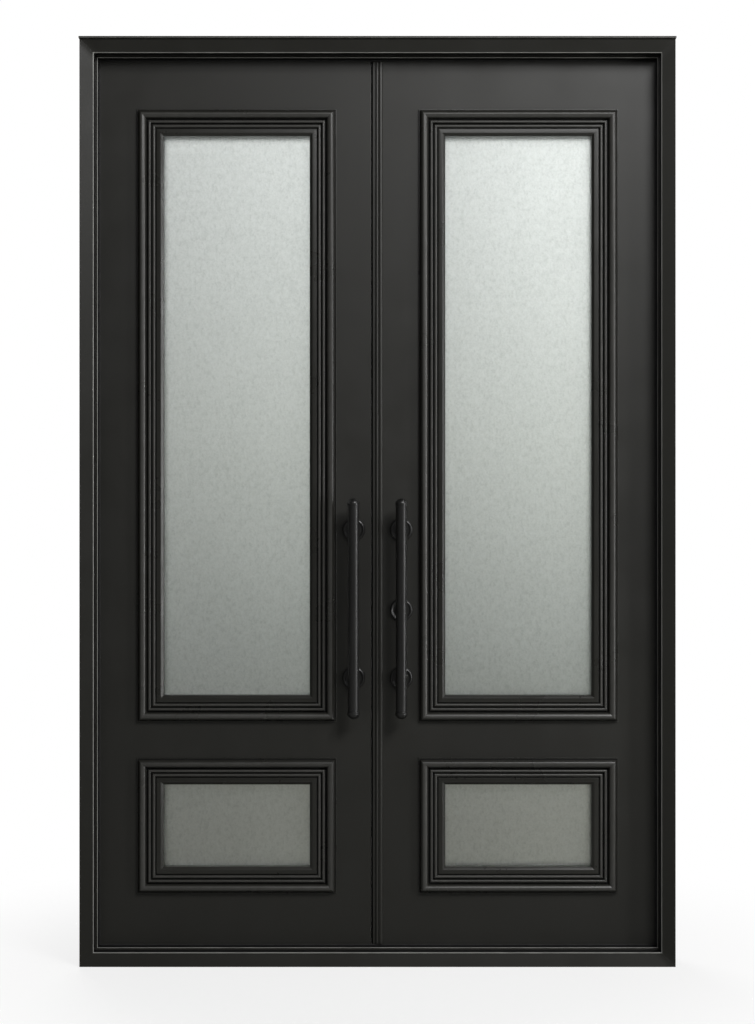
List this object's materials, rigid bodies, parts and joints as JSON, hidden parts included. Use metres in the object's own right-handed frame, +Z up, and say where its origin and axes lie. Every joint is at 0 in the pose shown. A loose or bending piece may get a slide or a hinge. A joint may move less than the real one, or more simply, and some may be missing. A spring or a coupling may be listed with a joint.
{
  "type": "wrought iron double door",
  "caption": "Wrought iron double entry door in its frame, with moulded frosted lights, long pull bars, a deadbolt and flush bolts.",
  "frame": {"origin": "centre of the threshold's underside", "axes": "+Z up, +X to the right seen from outside, +Y into the house"},
  "size_m": [1.565, 0.1932, 2.438],
  "materials": {
    "wrought_iron": "satin",
    "handle_iron": "satin",
    "frosted_glass": "frosted",
    "clear_glass": "clear",
    "spacer_metal": "mill",
    "seal_rubber": "matte",
    "bright_steel": "brushed",
    "lock_metal": "blackened"
  },
  "bodies": {
    "frame": {"left_jamb": "wrought_iron", "right_jamb": "wrought_iron", "head": "wrought_iron", "threshold": "wrought_iron", "drip_cap": "wrought_iron", "frame_seals": "seal_rubber", "left_hinge_frame_plates": "wrought_iron", "left_hinge_pins": "bright_steel", "right_hinge_frame_plates": "wrought_iron", "right_hinge_pins": "bright_steel"},
    "left_leaf": {"left_hinge_stile": "wrought_iron", "left_meeting_stile": "wrought_iron", "left_top_rail": "wrought_iron", "left_middle_rail": "wrought_iron", "left_bottom_rail": "wrought_iron", "left_upper_outer_moulding": "wrought_iron", "left_upper_inner_moulding": "wrought_iron", "left_upper_outer_pane": "frosted_glass", "left_upper_inner_pane": "clear_glass", "left_lower_outer_moulding": "wrought_iron", "left_lower_inner_moulding": "wrought_iron", "left_lower_outer_pane": "frosted_glass", "left_lower_inner_pane": "clear_glass", "left_glass_spacers": "spacer_metal", "left_hinge_leaf_plates": "wrought_iron", "left_outer_pull_bar": "handle_iron", "left_outer_pull_posts": "handle_iron", "left_inner_pull_bar": "handle_iron", "left_inner_pull_posts": "handle_iron", "left_pull_roses": "handle_iron", "meeting_edge_plates": "bright_steel"},
    "right_leaf": {"right_hinge_stile": "wrought_iron", "right_meeting_stile": "wrought_iron", "right_top_rail": "wrought_iron", "right_middle_rail": "wrought_iron", "right_bottom_rail": "wrought_iron", "right_upper_outer_moulding": "wrought_iron", "right_upper_inner_moulding": "wrought_iron", "right_upper_outer_pane": "frosted_glass", "right_upper_inner_pane": "clear_glass", "right_lower_outer_moulding": "wrought_iron", "right_lower_inner_moulding": "wrought_iron", "right_lower_outer_pane": "frosted_glass", "right_lower_inner_pane": "clear_glass", "right_glass_spacers": "spacer_metal", "right_hinge_leaf_plates": "wrought_iron", "right_outer_pull_bar": "handle_iron", "right_outer_pull_posts": "handle_iron", "right_inner_pull_bar": "handle_iron", "right_inner_pull_posts": "handle_iron", "right_pull_roses": "handle_iron", "astragal": "wrought_iron", "meeting_seal": "seal_rubber", "lock_case": "bright_steel", "key_cylinder": "lock_metal"},
    "deadbolt": {"deadbolt": "bright_steel"},
    "thumb_turn": {"thumb_turn": "handle_iron"},
    "key_plug": {"key_plug": "lock_metal"},
    "head_bolt": {"head_bolt": "bright_steel"},
    "foot_bolt": {"foot_bolt": "bright_steel"}
  },
  "joints": [
    {"name": "left_leaf_swing", "type": "hinge", "parent": "frame", "child": "left_leaf", "pos_m": [-0.751, 0.068, 0], "axis": [0, 0, 1], "range_deg": [0, 110]},
    {"name": "right_leaf_swing", "type": "hinge", "parent": "frame", "child": "right_leaf", "pos_m": [0.751, 0.068, 0], "axis": [0, 0, -1], "range_deg": [0, 110]},
    {"name": "deadbolt_throw", "type": "slide", "parent": "right_leaf", "child": "deadbolt", "axis": [-1, 0, 0], "range_m": [0, 0.025]},
    {"name": "thumb_turn_turn", "type": "hinge", "parent": "right_leaf", "child": "thumb_turn", "pos_m": [0.063, 0.033, 0.932], "axis": [0, -1, 0], "range_deg": [0, 90]},
    {"name": "key_plug_turn", "type": "hinge", "parent": "right_leaf", "child": "key_plug", "pos_m": [0.063, 0.033, 0.932], "axis": [0, -1, 0], "range_deg": [0, 90]},
    {"name": "head_bolt_slide", "type": "slide", "parent": "left_leaf", "child": "head_bolt", "axis": [0, 0, 1], "range_m": [0, 0.018]},
    {"name": "foot_bolt_slide", "type": "slide", "parent": "left_leaf", "child": "foot_bolt", "axis": [0, 0, -1], "range_m": [0, 0.018]}
  ],
  "couplings": [
    {"joint": "thumb_turn_turn", "follows": "deadbolt_throw", "rad_per_m": 62.832},
    {"joint": "key_plug_turn", "follows": "deadbolt_throw", "rad_per_m": 62.832}
  ]
}
